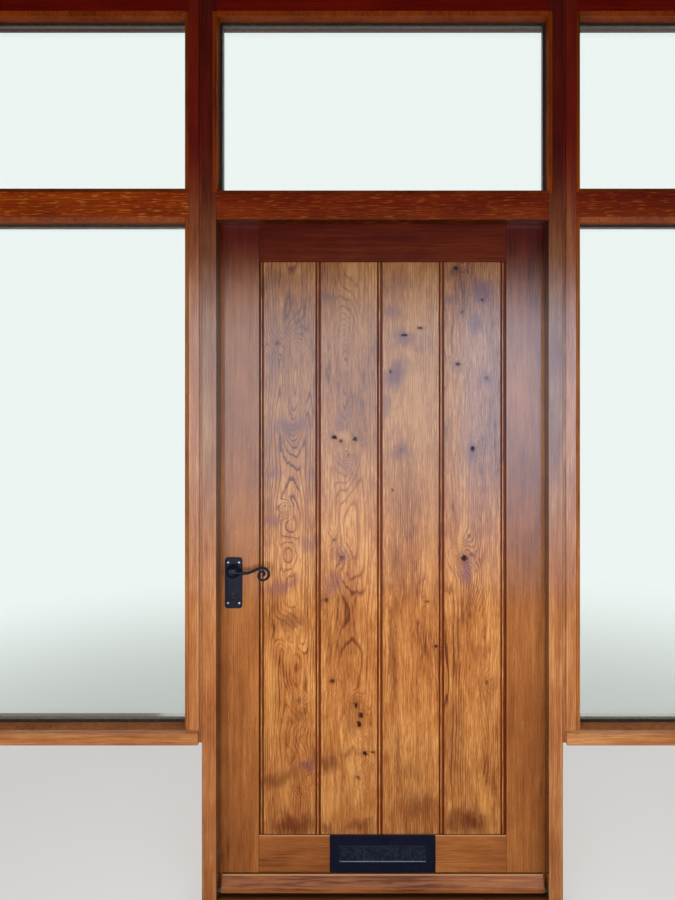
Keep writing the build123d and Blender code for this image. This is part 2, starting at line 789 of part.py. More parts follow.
# Leaf
lock_stile = block(-leaf_half, -field_half, leaf_front, leaf_back, leaf_bottom, leaf_top)
hinge_stile = block(field_half, leaf_half, leaf_front, leaf_back, leaf_bottom, leaf_top)
lock_stile -= side_groove(-field_half - groove_depth, -field_half, field_bottom, field_top)
hinge_stile -= side_groove(field_half, field_half + groove_depth, field_bottom, field_top)
top_rail = rail(field_top, leaf_top, 0, 1)
top_rail -= side_groove(-field_half, field_half, field_top, field_top + groove_depth)
bottom_rail = rail(leaf_bottom, field_bottom, 1, 0)
bottom_rail -= side_groove(-field_half, field_half, field_bottom - groove_depth, field_bottom)
middle_rail = block(-field_half, field_half, board_back, leaf_back, middle_rail_level,
                    middle_rail_level + middle_rail_height)
middle_rail += leaf_tenons(middle_rail_level + 15, middle_rail_level + middle_rail_height - 15)
for one in (top_rail, middle_rail, bottom_rail):
    lock_stile -= one
    hinge_stile -= one
for index in range(board_count):
    parts[f"board_{index + 1}"] = board(index)
parts["weatherboard"] = weatherboard()

# Furniture
outer_backplate = lever_plate()
letter_plate, letter_flap, flap_pin = letter_parts()
inner_letter_plate, inner_letter_flap = inner_letter_parts()
bottom_rail -= letter_slot()
spindle_reach = boss_height * 0.5 + plate_thickness
spindle = plate_along_y(Rectangle(spindle_square, spindle_square), spindle_x, spindle_level,
                        leaf_front - spindle_reach, leaf_back + spindle_reach)

# Housings in the lock stile
lock_stile -= block(forend_back, forend_back + case_depth, lock_front, lock_back, case_bottom, case_top)
lock_stile -= block(-leaf_half, forend_back, leaf_middle - forend_width / 2, leaf_middle + forend_width / 2,
                    forend_middle - forend_length / 2, forend_middle + forend_length / 2)
lock_stile -= rod_y(spindle_x, spindle_level, spindle_hole_radius, leaf_front, leaf_back)
lock_stile -= plate_along_y(keyhole(), spindle_x, key_level, leaf_front, leaf_back)
for frame_leaf, door_leaf, pin in hinges:
    hinge_stile -= door_leaf

parts.update({
    "left_post": left_post, "right_post": right_post, "frame_head": frame_head,
    "frame_transom": frame_transom, "threshold": threshold, "water_bar": water_bar,
    "frame_seal": frame_seal(), "strike_plate": strike_plate,
    "hinge_frame_leaves": group(*[frame_leaf for frame_leaf, door_leaf, pin in hinges]),
    "hinge_door_leaves": group(*[door_leaf for frame_leaf, door_leaf, pin in hinges]),
    "hinge_pins": group(*[pin for frame_leaf, door_leaf, pin in hinges]),
    "lock_stile": lock_stile, "hinge_stile": hinge_stile,
    "top_rail": top_rail, "middle_rail": middle_rail, "bottom_rail": bottom_rail,
    "lock_case": lock_case, "lock_faceplate": lock_faceplate, "lock_follower": lock_follower,
    "latch_bolt": latch_bolt, "deadbolt": deadbolt, "spindle": spindle,
    "outer_backplate": outer_backplate, "inner_backplate": on_inside(outer_backplate),
    "outer_lever": lever(), "inner_lever": on_inside(lever()),
    "letter_plate": letter_plate, "letter_flap": letter_flap, "flap_pin": flap_pin,
    "inner_letter_plate": inner_letter_plate, "inner_letter_flap": inner_letter_flap,
})

os.makedirs("parts", exist_ok=True)
for name, piece in parts.items():
    export_step(piece, f"parts/{name}.step")
print(len(parts), "sub-parts")
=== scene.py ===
import json
import math

import bmesh
import bpy
import numpy as np
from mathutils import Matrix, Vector

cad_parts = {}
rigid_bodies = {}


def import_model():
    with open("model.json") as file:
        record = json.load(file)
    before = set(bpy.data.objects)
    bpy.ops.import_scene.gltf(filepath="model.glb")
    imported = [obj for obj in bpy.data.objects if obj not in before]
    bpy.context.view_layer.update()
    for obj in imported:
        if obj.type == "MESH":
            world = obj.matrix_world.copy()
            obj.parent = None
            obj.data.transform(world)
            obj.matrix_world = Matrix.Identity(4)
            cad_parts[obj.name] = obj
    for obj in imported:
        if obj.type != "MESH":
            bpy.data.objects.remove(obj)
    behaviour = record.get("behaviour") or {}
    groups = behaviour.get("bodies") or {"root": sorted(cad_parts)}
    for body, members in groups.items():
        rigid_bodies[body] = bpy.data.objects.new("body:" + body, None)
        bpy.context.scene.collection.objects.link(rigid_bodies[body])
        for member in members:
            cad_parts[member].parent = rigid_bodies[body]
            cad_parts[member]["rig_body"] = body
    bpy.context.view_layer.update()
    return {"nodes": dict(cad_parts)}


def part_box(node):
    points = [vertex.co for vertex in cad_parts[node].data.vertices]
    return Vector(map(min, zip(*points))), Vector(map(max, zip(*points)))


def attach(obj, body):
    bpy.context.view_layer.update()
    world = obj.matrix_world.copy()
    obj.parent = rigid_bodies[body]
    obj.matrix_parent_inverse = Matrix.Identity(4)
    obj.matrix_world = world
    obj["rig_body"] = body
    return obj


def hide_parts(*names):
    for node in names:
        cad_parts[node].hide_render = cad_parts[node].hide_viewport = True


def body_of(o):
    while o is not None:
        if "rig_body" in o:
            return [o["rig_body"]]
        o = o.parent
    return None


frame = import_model()
nodes = frame["nodes"]
print("door and sidelights loaded:", len(nodes), "nodes")


# helpers for node trees

def linear(red, green, blue):
    # colour as seen on a screen (0 to 255) turned into light values
    def channel(c):
        c = c / 255
        return c / 12.92 if c <= 0.04045 else ((c + 0.055) / 1.055) ** 2.4
    return (channel(red), channel(green), channel(blue), 1.0)


class wire:
    # a value in a node tree; sums of wires become Math nodes
    def __init__(self, tree, socket):
        self.tree = tree
        self.socket = socket

    def __add__(self, other):
        return calc(self.tree, "ADD", self, other)

    def __sub__(self, other):
        return calc(self.tree, "SUBTRACT", self, other)

    def __rsub__(self, other):
        return calc(self.tree, "SUBTRACT", other, self)

    def __mul__(self, other):
        return calc(self.tree, "MULTIPLY", self, other)

    def __truediv__(self, other):
        return calc(self.tree, "DIVIDE", self, other)


def plug(tree, socket, value):
    if isinstance(value, wire):
        tree.links.new(value.socket, socket)
    elif isinstance(value, bpy.types.NodeSocket):
        tree.links.new(value, socket)
    else:
        socket.default_value = value


def calc(tree, operation, *values):
    node = tree.nodes.new("ShaderNodeMath")
    node.operation = operation
    for socket, value in zip(node.inputs, values):
        plug(tree, socket, value)
    return wire(tree, node.outputs[0])


def ramp(value, low, high, start=0.0, end=1.0):
    # smooth step from start to end while the value goes from low to high
    tree = value.tree
    node = tree.nodes.new("ShaderNodeMapRange")
    node.interpolation_type = "SMOOTHSTEP"
    for name, number in (("From Min", low), ("From Max", high), ("To Min", start), ("To Max", end)):
        node.inputs[name].default_value = number
    plug(tree, node.inputs["Value"], value)
    return wire(tree, node.outputs["Result"])


def combine(tree, x, y, z):
    node = tree.nodes.new("ShaderNodeCombineXYZ")
    for socket, value in zip(node.inputs, (x, y, z)):
        plug(tree, socket, value)
    return wire(tree, node.outputs[0])


def noise(vector, scale=1.0, detail=2.0, roughness=0.5):
    tree = vector.tree
    node = tree.nodes.new("ShaderNodeTexNoise")
    plug(tree, node.inputs["Vector"], vector)
    node.inputs["Scale"].default_value = scale
    node.inputs["Detail"].default_value = detail
    node.inputs["Roughness"].default_value = roughness
    return wire(tree, node.outputs[0])


def distance(vector, point):
    tree = vector.tree
    node = tree.nodes.new("ShaderNodeVectorMath")
    node.operation = "DISTANCE"
    plug(tree, node.inputs[0], vector)
    node.inputs[1].default_value = point
    return wire(tree, node.outputs["Value"])


def blend(tree, factor, first, second, mode="MIX"):
    node = tree.nodes.new("ShaderNodeMix")
    node.data_type = "RGBA"
    node.blend_type = mode
    plug(tree, node.inputs[0], factor)
    plug(tree, node.inputs[6], first)
    plug(tree, node.inputs[7], second)
    return node.outputs[2]


def newFinish(name):
    finish = bpy.data.materials.new(name)
    finish.use_nodes = True
    tree = finish.node_tree
    shader = tree.nodes["Principled BSDF"]
    coords = tree.nodes.new("ShaderNodeTexCoord")
    split = tree.nodes.new("ShaderNodeSeparateXYZ")
    tree.links.new(coords.outputs["Object"], split.inputs[0])
    x, y, z = (wire(tree, split.outputs[i]) for i in range(3))
    return finish, tree, shader, x, y, z


def bump(tree, height, reach, strength=1.0):
    node = tree.nodes.new("ShaderNodeBump")
    node.inputs["Strength"].default_value = strength
    node.inputs["Distance"].default_value = reach
    plug(tree, node.inputs["Height"], height)
    return node.outputs[0]


def dress(names, finish):
    for name in names:
        mesh = nodes[name].data
        mesh.materials.clear()
        mesh.materials.append(finish)


# camera and studio

view = {"place": (0.0219, -2.0, 1.536), "lens": 27.4, "film": 36, "shiftX": -0.0583, "shiftY": -0.0611}

cameraData = bpy.data.cameras.new("doorCamera")
cameraData.lens = view["lens"]
cameraData.sensor_width = view["film"]
cameraData.shift_x = view["shiftX"]
cameraData.shift_y = view["shiftY"]
camera = bpy.data.objects.new("doorCamera", cameraData)
camera.location = view["place"]
camera.rotation_euler = (math.pi / 2, 0, 0)
bpy.context.scene.collection.objects.link(camera)
bpy.context.scene.camera = camera
bpy.context.scene.view_settings.view_transform = "Standard"

studio = {
    "ambient": 0.1,          # light from all round, for the wood
    "frontGlint": 0.05,      # how pale the front of the studio looks in gloss
    "glintTurn": (-0.35, 0.25),    # heading over which that changes to the white behind
    "floorSize": 14,
    "floorColour": (0.8, 0.79, 0.77, 1),
    "floorGlow": (1.6, 4.2, 0.3),    # near and far edge of the fade to white, and its least share
    "lampFade": (-0.15, 0.56, 0.73, 1.0),    # gloss lamps: foot and top of their fade, up the lamp
    "lamps": {
        # place, aimed at, width, height, power, colour, what it gives
        "sheenLeft": ((-1.15, -2.5, 1.35), (-1.15, 0.0, 1.35), 3.3, 2.3, 108, (0.76, 0.82, 0.93), "gloss"),
        "sheenRight": ((1.65, -2.5, 1.35), (1.65, 0.0, 1.35), 2.3, 2.3, 104, (0.45, 0.7, 1.0), "gloss"),
        "frontLow": ((0.0, -1.25, 0.9), (0.0, 0.0, 0.9), 3.6, 0.7, 32, (1.0, 0.96, 0.9), "matt"),
        "frontHigh": ((0.0, -3.2, 1.9), (0.0, 0.0, 1.5), 4.0, 1.6, 24, (0.95, 0.97, 1.0), "matt"),
        "behind": ((0.4, 4.2, 1.7), (0.0, 0.1, 1.2), 5.0, 2.4, 110, (1.0, 0.98, 0.95), "both"),
        "leftSide": ((-4.6, 0.8, 1.8), (0.0, 0.1, 1.2), 2.2, 2.4, 24, (1.0, 0.98, 0.96), "both"),
        "rightSide": ((4.6, 0.8, 1.8), (0.0, 0.1, 1.2), 2.2, 2.4, 24, (1.0, 0.98, 0.96), "both"),
    },
}
glassNodes = ("toplight_glass", "left_upper_glass", "left_lower_glass", "right_upper_glass",
              "right_lower_glass")

# the lamps don't show as bright oblongs in the panes, which still let their light through
lampReach = bpy.data.collections.new("lampReach")
for name in glassNodes:
    lampReach.objects.link(nodes[name])
for entry in lampReach.collection_objects:
    entry.light_linking.link_state = "EXCLUDE"

for name, (place, aim, width, height, power, tint, gives) in studio["lamps"].items():
    lampData = bpy.data.lights.new(name, "AREA")
    lampData.shape = "RECTANGLE"
    lampData.size = width
    lampData.size_y = height
    lampData.energy = power
    lampData.color = tint
    lamp = bpy.data.objects.new(name, lampData)
    lamp.location = place
    lamp.rotation_euler = (Vector(aim) - Vector(place)).to_track_quat("-Z", "Y").to_euler()
    lamp.visible_camera = False
    lamp.visible_diffuse = gives != "gloss"
    lamp.visible_glossy = gives != "matt"
    lamp.light_linking.receiver_collection = lampReach
    if gives == "gloss":    # soft light that fades towards the lamp's foot and top
        footLow, footHigh, topLow, topHigh = studio["lampFade"]
        lampData.use_nodes = True
        tree = lampData.node_tree
        face = tree.nodes.new("ShaderNodeNewGeometry")
        split = tree.nodes.new("ShaderNodeSeparateXYZ")
        tree.links.new(face.outputs["Parametric"], split.inputs[0])
        rise = wire(tree, split.outputs[1])
        strength = ramp(rise, footLow, footHigh) * ramp(rise, topLow, topHigh, 1.0, 0.0)
        plug(tree, tree.nodes["Emission"].inputs["Strength"], strength)
    bpy.context.scene.collection.objects.link(lamp)

world = bpy.data.worlds.new("paleStudio")
bpy.context.scene.world = world
world.use_nodes = True
tree = world.node_tree
paths = tree.nodes.new("ShaderNodeLightPath")
cameraRay, glossyRay, clearRay = (wire(tree, paths.outputs[name]) for name in
                                  ("Is Camera Ray", "Is Glossy Ray", "Is Transmission Ray"))
heading = tree.nodes.new("ShaderNodeSeparateXYZ")
coords = tree.nodes.new("ShaderNodeTexCoord")
tree.links.new(coords.outputs["Generated"], heading.inputs[0])
backdrop = ramp(wire(tree, heading.outputs[1]), *studio["glintTurn"], studio["frontGlint"], 1.0)
seen = calc(tree, "MAXIMUM", calc(tree, "MAXIMUM", cameraRay, clearRay), glossyRay * backdrop)
background = tree.nodes["Background"]
background.inputs["Color"].default_value = (1, 1, 1, 1)
level = calc(tree, "MAXIMUM", seen, (1.0 - glossyRay) * studio["ambient"])
plug(tree, background.inputs["Strength"], level)

edge = studio["floorSize"]
floorMesh = bpy.data.meshes.new("floor")
corners = [(-edge, -edge, 0), (edge, -edge, 0), (edge, edge, 0), (-edge, edge, 0)]
floorMesh.from_pydata(corners, [], [(0, 1, 2, 3)])
floor = bpy.data.objects.new("floor", floorMesh)
bpy.context.scene.collection.objects.link(floor)
finish, tree, shader, x, y, z = newFinish("paleFloor")
shader.inputs["Base Color"].default_value = studio["floorColour"]
shader.inputs["Roughness"].default_value = 0.9
away = calc(tree, "SQRT", x * x + y * y)
glow = tree.nodes.new("ShaderNodeEmission")
glow.inputs["Strength"].default_value = 1.0
mixer = tree.nodes.new("ShaderNodeMixShader")
paths = tree.nodes.new("ShaderNodeLightPath")
seen = calc(tree, "MAXIMUM", wire(tree, paths.outputs["Is Camera Ray"]),
            calc(tree, "MAXIMUM", wire(tree, paths.outputs["Is Glossy Ray"]),
                 wire(tree, paths.outputs["Is Transmission Ray"])))
near, far, least = studio["floorGlow"]
plug(tree, mixer.inputs[0], ramp(away, near, far, least, 1.0) * seen)
tree.links.new(shader.outputs[0], mixer.inputs[1])
tree.links.new(glow.outputs[0], mixer.inputs[2])
tree.links.new(mixer.outputs[0], tree.nodes["Material Output"].inputs[0])
floorMesh.materials.append(finish)
floor.visible_glossy = False
print("studio ready")


# stained oak

def oval(place, atX, atZ, halfWidth, halfHeight, lean):
    # distance from the middle of a leaning oval, 1 at its edge
    tree = place.tree
    node = tree.nodes.new("ShaderNodeMapping")
    node.vector_type = "TEXTURE"
    plug(tree, node.inputs["Vector"], place)
    node.inputs["Location"].default_value = (atX, atZ, 0)
    node.inputs["Rotation"].default_value = (0, 0, lean)
    node.inputs["Scale"].default_value = (halfWidth, halfHeight, 1)
    return distance(wire(tree, node.outputs[0]), (0, 0, 0))


# noises drawn out along the grain: cells to a metre across and along it, octaves, roughness
grainNoises = {
    "wander": (2.2, 0.9, 2, 0.5),       # drift of the rings
    "arch": (4.5, 1.7, 2, 0.55),        # arches
    "ragged": (30.0, 13.0, 4, 0.65),    # outline of smudges
    "torn": (150.0, 110.0, 2, 0.6),     # outline of knots
    "fuzz": (90.0, 5.0, 2, 0.6),        # soft edges of the rings
    "uneven": (45.0, 0.7, 2, 0.6),      # rings of uneven width
    "fibre": (330.0, 15.0, 2, 0.6),
    "fade": (9.0, 2.0, 1, 0.5),         # where the rings grow faint
    "streak": (75.0, 3.2, 3, 0.62),     # light and dark streaks
    "pores": (800.0, 36.0, 1, 0.5),
    "cloud": (6.0, 2.4, 3, 0.6),        # broad light and dark places
}

# what every piece of oak has, unless its own entry says otherwise
plainOak = {
    "seed": 0.0, "apart": 3.7,       # where in the pattern the first piece starts, and how far on the next
    "spacing": 0.006,                # between growth rings, metres
    "wander": 0.05, "arch": 0.06,    # how far rings drift sideways and in depth
    "uneven": 3.0, "rings": 0.3,     # uneven ring width, and how dark the early wood is
    "cloud": 1.25, "streak": 0.8, "fibre": 0.75, "tone": 0.56,    # contrasts, and the mean shade
    "fleck": 0.05, "fleckLean": 0.44, "fleckPace": 60.0,          # rays: paleness, slant, cells to a metre
    "marks": (),
    "pore": (70, 30, 12), "deep": (170, 72, 56), "wet": (170, 150, 130),    # pores, painted shade high up, darker foot
    "seams": True,                   # dark joints at both edges
    "rough": 0.42, "shine": 0.04, "coat": 0.9, "coatRough": 0.1,
    "relief": (0.0004, 0.4),    # height in metres, and strength
}
markTints = {"pale": (224, 162, 88), "brown": (102, 48, 24), "mauve": (116, 66, 74), "knot": (44, 21, 18)}
# the last wood tint is the colour of the painted shadow under the weatherboard
woodTints = {"arris": (244, 190, 130), "seam": (44, 16, 7), "ray": (196, 122, 44), "quirk": (102, 32, 8),
             "joint": (44, 18, 8), "weatherboardShadow": (20, 12, 9)}


def oak(node, look, count):
    # growth rings are circles round a pith behind the face; its slow wander along the grain draws arches,
    # and smooth hills added to the ring count draw closed rings round knots
    look = {**plainOak, **look}
    finish, tree, shader, x, y, z = newFinish(node + "_oak")
    along, across = (z, x) if look["grain"] == "z" else (x, z)
    low, high = (corner[0] if look["grain"] == "z" else corner[2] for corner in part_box(node))
    middle = (low + high) / 2
    lower = across - low      # distance from the lower, the upper and the nearest edge
    upper = high - across
    rim = calc(tree, "MINIMUM", lower, upper)
    across = across - middle
    far = along + (look["seed"] + look["apart"] * count)

    # the pattern: ring count, then marks, then the fine structure
    def grown(kind):
        fine, pace, detail, roughness = grainNoises[kind]
        pace = look.get(kind + "Pace", pace)
        return noise(combine(tree, across * fine, y * fine, far * pace), 1.0, detail, roughness)

    ringX = across - look["pith"][0] + (grown("wander") - 0.5) * look["wander"]
    ringY = y + look["pith"][1] + (grown("arch") - 0.5) * look["arch"]
    rings = calc(tree, "SQRT", ringX * ringX + ringY * ringY) / look["spacing"]

    ragged = grown("ragged") - 0.5
    torn = grown("torn") - 0.5
    places = {"eye": combine(tree, across + ragged * 0.01, along + ragged * 0.03, 0.0),
              "smudge": combine(tree, across + ragged * 0.045, along + ragged * 0.1, 0.0),
              "knot": combine(tree, across + torn * 0.016, along - torn * 0.012, 0.0)}
    patches = dict.fromkeys(markTints)
    for kind, atX, atZ, halfWidth, halfHeight, lean, strength in look["marks"]:
        near = oval(places.get(kind, places["smudge"]), atX - middle, atZ, halfWidth, halfHeight, lean)
        if kind == "eye":      # rings close round it
            rings = rings + ramp(near, 0.0, 1.05, strength * 1.5, 0.0)
            continue
        spread = [(kind, ramp(near, 0.15, 1.3, strength, 0.0))]
        if kind == "knot":     # crisp, with a brown halo, and the rings bend round it
            spread = [("knot", ramp(near, 0.45, 1.0, strength * 1.1, 0.0)),
                      ("brown", ramp(near, 0.9, 2.4, strength * 0.35, 0.0))]
            rings = rings + ramp(near, 0.0, 5.0, strength * 4.0, 0.0)
        for tint, patch in spread:
            patches[tint] = patch if patches[tint] is None else calc(tree, "MAXIMUM", patches[tint], patch)

    rings = rings + (grown("fuzz") - 0.5) * 0.4 + (grown("uneven") - 0.5) * look["uneven"]
    phase = calc(tree, "FRACT", rings)
    fibre = grown("fibre")
    early = ramp(fibre, 0.3, 0.68, 0.4, 1.0) * ramp(phase, 0.0, 0.1) * ramp(phase, 0.12, 0.42, 1.0, 0.0)
    fade = ramp(grown("fade"), 0.32, 0.66, 0.3, 1.0)
    streak = grown("streak")
    pits = ramp(grown("pores"), 0.56, 0.72)
    pores = pits * (early * 0.7 + 0.3)
    # rays: short pale flecks that cross the grain at a slant
    lean = look["fleckLean"]
    rays = noise(combine(tree, (across * 0.9 - along * lean) * 300.0, y * 100.0,
                         (across * lean + along * 0.9) * look["fleckPace"]), 1.0, 1.0, 0.5)
    fleck = ramp(rays, 0.58, 0.72, 0.0, look["fleck"])

    # the colour: one shade of stain from dark to pale, then what lies over it; depths and edges in metres
    tone = (grown("cloud") - 0.5) * look["cloud"] + (streak - 0.5) * look["streak"]
    tone = tone + (fibre - 0.5) * look["fibre"] + fleck + look["tone"]
    tone = tone - early * fade * look["rings"]
    dark, mid, pale = (linear(*colour) for colour in look["stain"])
    shade = blend(tree, ramp(tone, 0.0, 0.5), dark, mid)
    colour = blend(tree, ramp(tone, 0.42, 0.95), shade, pale)
    colour = blend(tree, pores * 0.5, colour, linear(*look["pore"]))
    for kind, tint in markTints.items():
        if patches[kind] is not None:
            colour = blend(tree, patches[kind] * (streak * 1.2 + 0.4), colour, linear(*tint))
    if "arris" in look:      # light caught by the rounded upper edge
        edge = ramp(upper, 0.0, 0.0016) * ramp(upper, 0.0028, 0.0048, look["arris"], 0.0)
        colour = blend(tree, edge, colour, linear(*woodTints["arris"]))
    if look["seams"]:        # dark stain in the joint, then a line of worn arris
        colour = blend(tree, ramp(rim, 0.0015, 0.0028) * ramp(rim, 0.003, 0.0058, 0.3, 0.0), colour, pale)
        colour = blend(tree, ramp(rim, 0.0008, 0.0022, 0.7, 0.0), colour, linear(*woodTints["seam"]))
    if "highShade" in look:    # painted shade: high up the wood is multiplied darker and redder, as if in shadow
        start, end, amount = look["highShade"]
        colour = blend(tree, ramp(z, start, end, 0.0, amount), colour, linear(*look["deep"]), "MULTIPLY")
    if "gleam" in look:      # rays that shine golden through the dark stain
        colour = blend(tree, ramp(rays, 0.57, 0.68, 0.0, look["gleam"]), colour, linear(*woodTints["ray"]))
    if "midShade" in look:        # painted shade: from the middle up the wood is multiplied darker, where less light falls
        colour = blend(tree, ramp(z, 1.02, 1.45, 0.0, look["midShade"]), colour, (0.1, 0.1, 0.1, 1), "MULTIPLY")
    if "foot" in look:       # darker towards the foot
        start, end, amount = look["foot"]
        colour = blend(tree, ramp(z, end, start, amount, 0.0), colour, linear(*look["wet"]), "MULTIPLY")
    if "groove" in look:     # quirks darken with depth, partly stain, partly painted shade; the joint is a dark line inside
        front, back = look["groove"]
        filled = ramp(y, front, back, 0.0, 0.9) * ramp(y, back + 0.008, back + 0.012, 1.0, 0.0)
        colour = blend(tree, filled, colour, linear(*woodTints["quirk"]))
        meeting = calc(tree, "MINIMUM", lower, calc(tree, "ABSOLUTE", upper - look["tongue"]))
        line = ramp(meeting, 0.0004, 0.0013, 0.8, 0.0) * ramp(y, back + 0.012, back + 0.014)
        colour = blend(tree, line, colour, linear(*woodTints["joint"]))
    if "weatherboardShadow" in look:      # painted shadow under the weatherboard: the threshold darkens towards the leaf
        start, end, amount = look["weatherboardShadow"]
        underShadow = ramp(y, start, end, 0.0, amount) * ramp(y, 0.05, 0.06, 1.0, 0.0)
        colour = blend(tree, underShadow, colour, linear(*woodTints["weatherboardShadow"]))
    plug(tree, shader.inputs["Base Color"], colour)

    plug(tree, shader.inputs["Roughness"], (streak - 0.5) * 0.12 + pits * 0.06 + look["rough"])
    shader.inputs["Specular IOR Level"].default_value = look["shine"]
    shader.inputs["Coat Roughness"].default_value = look["coatRough"]
    shader.inputs["Coat Weight"].default_value = look["coat"]
    if "groove" in look:     # no lacquer shines in quirks and knots
        lacquer = (1.0 - filled) * (1.0 - patches["knot"] * 0.85) * look["coat"]
        plug(tree, shader.inputs["Coat Weight"], lacquer)
    height = fibre * 0.5 + streak * 0.6 - pits * 0.4
    plug(tree, shader.inputs["Normal"], bump(tree, height, *look["relief"]))
    return finish


# the frame stain is partly painted shade: darker than the rest, for the shade the head and top rail stand in
frameStainAndShade = ((74, 24, 8), (120, 48, 14), (150, 78, 26))
postStain = ((98, 48, 22), (160, 98, 55), (198, 144, 92))
leafStain = ((90, 42, 18), (145, 86, 42), (176, 113, 60))
boardStain = ((100, 50, 22), (173, 108, 55), (214, 156, 92))
transomStain = ((88, 36, 9), (140, 70, 18), (176, 106, 40))
# painted shade high up: where it starts, where it is full, and its share; then its tint on the posts
highShadeSpan = (1.84, 2.13, 1.0)
postHighShadeSpan = (1.68, 2.3, 1.0)
deepPost = (172, 64, 12)

transomLook = {
    "grain": "x", "pith": (-0.2, 0.12), "stain": transomStain, "highShade": highShadeSpan, "coat": 0.05,
    "fleck": 0.5, "fleckLean": 0.03, "fleckPace": 26.0, "arris": 0.25,
}

oakLooks = {
    "posts": {
        "nodes": ("left_post", "right_post"), "grain": "z", "pith": (0.35, 0.2), "spacing": 0.005,
        "stain": postStain, "arch": 0.03, "highShade": postHighShadeSpan, "deep": deepPost, "midShade": 0.4,
        "cloud": 1.7, "foot": (0.5, 0.2, 0.12)},
    "head": {
        "nodes": ("frame_head", "left_head", "right_head"), "grain": "x", "pith": (0.25, 0.1),
        "stain": frameStainAndShade, "highShade": highShadeSpan, "deep": (222, 96, 54), "coat": 0.12},
    "transoms": {
        **transomLook, "nodes": ("frame_transom", "right_transom"), "seed": 1.9,
        "deep": (188, 106, 6), "tone": 0.6, "gleam": 0.2},
    "leftTransom": {
        **transomLook, "nodes": ("left_transom",), "seed": 4.9,
        "deep": (236, 164, 6), "tone": 0.62, "gleam": 0.6},
    "jambs": {
        "nodes": ("left_inner_jamb", "right_inner_jamb", "left_outer_jamb", "right_outer_jamb"),
        "grain": "z", "seed": 3.1, "pith": (0.3, 0.2), "spacing": 0.005, "stain": postStain,
        "arch": 0.03, "highShade": postHighShadeSpan, "deep": deepPost},
    "sills": {
        "nodes": ("left_sill", "right_sill"), "grain": "x", "seed": 1.3, "pith": (0.1, 0.15),
        "stain": postStain},
    # the threshold carries a painted shadow under the weatherboard
    "threshold": {
        "nodes": ("threshold",), "grain": "x", "seed": 5.3, "pith": (0.6, 0.15),
        "stain": leafStain, "weatherboardShadow": (0.002, 0.03, 0.85)},
    "strips": {
        "nodes": ("joint_strips",), "grain": "z", "seed": 2.2, "pith": (0.2, 0.3),
        "stain": postStain, "highShade": postHighShadeSpan, "deep": deepPost, "seams": False},
    "beads": {
        "nodes": ("toplight_beads", "left_beads", "right_beads"), "grain": "z", "seed": 4.4,
        "pith": (0.2, 0.3), "stain": leafStain, "highShade": highShadeSpan, "deep": (228, 162, 76),
        "coat": 0.06, "shine": 0.02, "rough": 0.6},
    "stiles": {
        "nodes": ("lock_stile", "hinge_stile"), "grain": "z", "seed": 7.7, "pith": (0.9, 0.5),
        "spacing": 0.005, "stain": leafStain, "arch": 0.04, "highShade": (1.79, 2.02, 1.0),
        "deep": (164, 78, 50), "fleck": 0.12, "midShade": 0.1},
    "topRail": {
        "nodes": ("top_rail",), "grain": "x", "seed": 8.3, "pith": (0.4, 0.3), "spacing": 0.005,
        "stain": frameStainAndShade, "arch": 0.03, "highShade": (1.7, 2.1, 0.9), "deep": (152, 58, 20),
        "coat": 0.06},
    "rails": {
        "nodes": ("middle_rail", "bottom_rail"), "grain": "x", "seed": 9.1, "pith": (0.6, 0.3),
        "spacing": 0.005, "stain": leafStain, "arch": 0.03, "tone": 0.5, "arris": 0.6},
    "weatherboard": {
        "nodes": ("weatherboard",), "grain": "x", "seed": 6.6, "pith": (0.7, 0.4),
        "stain": leafStain, "tone": 0.42, "coat": 0.1, "arris": 0.5},
}

# boards, from the lock side: kind of mark, place across and up, half width, half height, lean, strength
marks1 = (
    ("eye", -0.263, 1.599, 0.051, 0.210, 0, 6), ("eye", -0.260, 1.656, 0.015, 0.030, 0, 1.3),
    ("eye", -0.272, 1.449, 0.045, 0.162, 0, 3.4), ("eye", -0.290, 1.194, 0.030, 0.039, 0, 2.6),
    ("eye", -0.281, 1.062, 0.039, 0.078, 0, 2.2), ("eye", -0.263, 0.716, 0.045, 0.150, 0, 3.6),
    ("eye", -0.248, 0.623, 0.024, 0.036, 0, 2.2), ("eye", -0.239, 0.386, 0.060, 0.060, 0, 3.4),
    ("eye", -0.251, 0.506, 0.042, 0.054, 0, 1.5), ("eye", -0.287, 0.837, 0.051, 0.078, 0, 2.6),
    ("knot", -0.317, 1.692, 0.009, 0.009, 0, 0.5), ("knot", -0.281, 0.807, 0.007, 0.009, 0, 0.3),
    ("knot", -0.251, 0.620, 0.009, 0.015, 0, 0.35), ("knot", -0.347, 1.689, 0.006, 0.006, 0, 0.35),
    ("mauve", -0.278, 1.440, 0.072, 0.033, 0.1, 0.75), ("mauve", -0.335, 1.299, 0.039, 0.018, 0, 0.5),
    ("mauve", -0.215, 1.296, 0.021, 0.018, 0, 0.4), ("mauve", -0.338, 1.155, 0.042, 0.021, 0.1, 0.6),
    ("mauve", -0.224, 1.083, 0.033, 0.024, 0, 0.55), ("mauve", -0.308, 0.957, 0.060, 0.024, 0.35, 0.6),
    ("brown", -0.278, 0.855, 0.054, 0.027, 0, 0.55), ("brown", -0.329, 1.878, 0.054, 0.039, 0, 0.5),
    ("mauve", -0.230, 0.422, 0.039, 0.021, 0.3, 0.7), ("brown", -0.320, 0.380, 0.078, 0.027, 0.32, 0.6),
    ("brown", -0.266, 0.248, 0.084, 0.033, 0, 0.75), ("brown", -0.251, 0.566, 0.024, 0.027, 0, 0.45),
    ("mauve", -0.332, 1.641, 0.030, 0.090, 0, 0.3), ("pale", -0.338, 0.650, 0.024, 0.180, 0, 0.35),
    ("pale", -0.299, 0.350, 0.030, 0.090, 0, 0.3),
)
